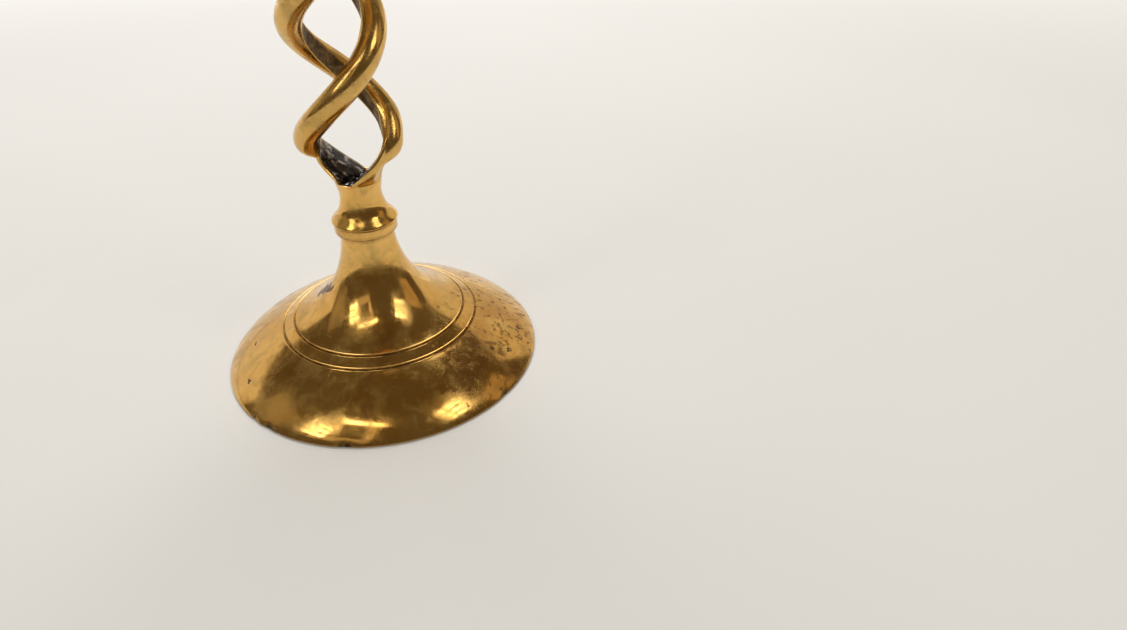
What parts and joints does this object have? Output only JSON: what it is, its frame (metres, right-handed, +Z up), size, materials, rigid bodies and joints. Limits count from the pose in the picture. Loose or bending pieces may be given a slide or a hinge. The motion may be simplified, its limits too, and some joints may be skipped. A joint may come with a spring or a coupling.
{
  "type": "candlestick",
  "caption": "Brass candlestick with an open double-twist stem between turned necks, a round hollow domed foot and a flared candle cup.",
  "frame": {"origin": "middle of the foot's flat resting ring, at table height", "axes": "+Z up along the stem, from the foot to the candle cup; the part is round about Z except for the twist"},
  "size_m": [0.114, 0.114, 0.2945],
  "materials": {
    "brass": "old polished brass, golden brown patina, fine scratches and small dark pits",
    "cast_brass": "dull as-cast brass of the foot's hollow",
    "steel": "plain dull steel"
  },
  "bodies": {
    "root": {"foot": "brass", "lower_neck": "brass", "foot_stud": "steel", "foot_washer": "steel", "foot_nut": "steel", "rod_a": "brass", "rod_b": "brass", "upper_neck": "brass", "cup_stud": "steel", "candle_cup": "brass"}
  },
  "joints": []
}
